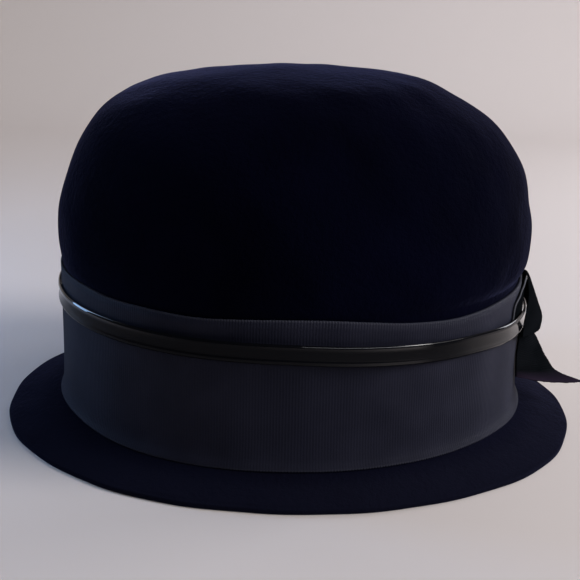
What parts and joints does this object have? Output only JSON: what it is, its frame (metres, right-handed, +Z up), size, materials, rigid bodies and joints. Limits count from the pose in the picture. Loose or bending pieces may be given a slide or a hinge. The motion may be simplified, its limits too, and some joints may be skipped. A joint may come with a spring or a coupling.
{
  "type": "cloche hat",
  "caption": "Felt cloche hat: a rounded crown and a narrow sloping brim, with a wide ribbon hatband, a narrow glossy strap round it and a small ribbon bow at the back.",
  "frame": {"origin": "on the surface the hat rests on, under the middle of its whole length, from the front of the brim to the tips of the bow's tails", "axes": "-X is the front of the hat and +X the back with the bow, -Y the wearer's left and +Y the right, +Z up through the crown"},
  "size_m": [0.2531, 0.1944, 0.1481],
  "materials": {
    "felt": "deep navy velour felt with a soft bluish nap",
    "band_ribbon": "slate navy grosgrain ribbon with fine upright ribs",
    "patent": "glossy black patent",
    "bow_ribbon": "near-black grosgrain ribbon with cut ends"
  },
  "bodies": {
    "root": {"felt_body": "felt", "hatband": "band_ribbon", "strap": "patent", "bow_loop_left": "bow_ribbon", "bow_loop_right": "bow_ribbon", "bow_tail_left": "bow_ribbon", "bow_tail_right": "bow_ribbon"}
  },
  "joints": []
}
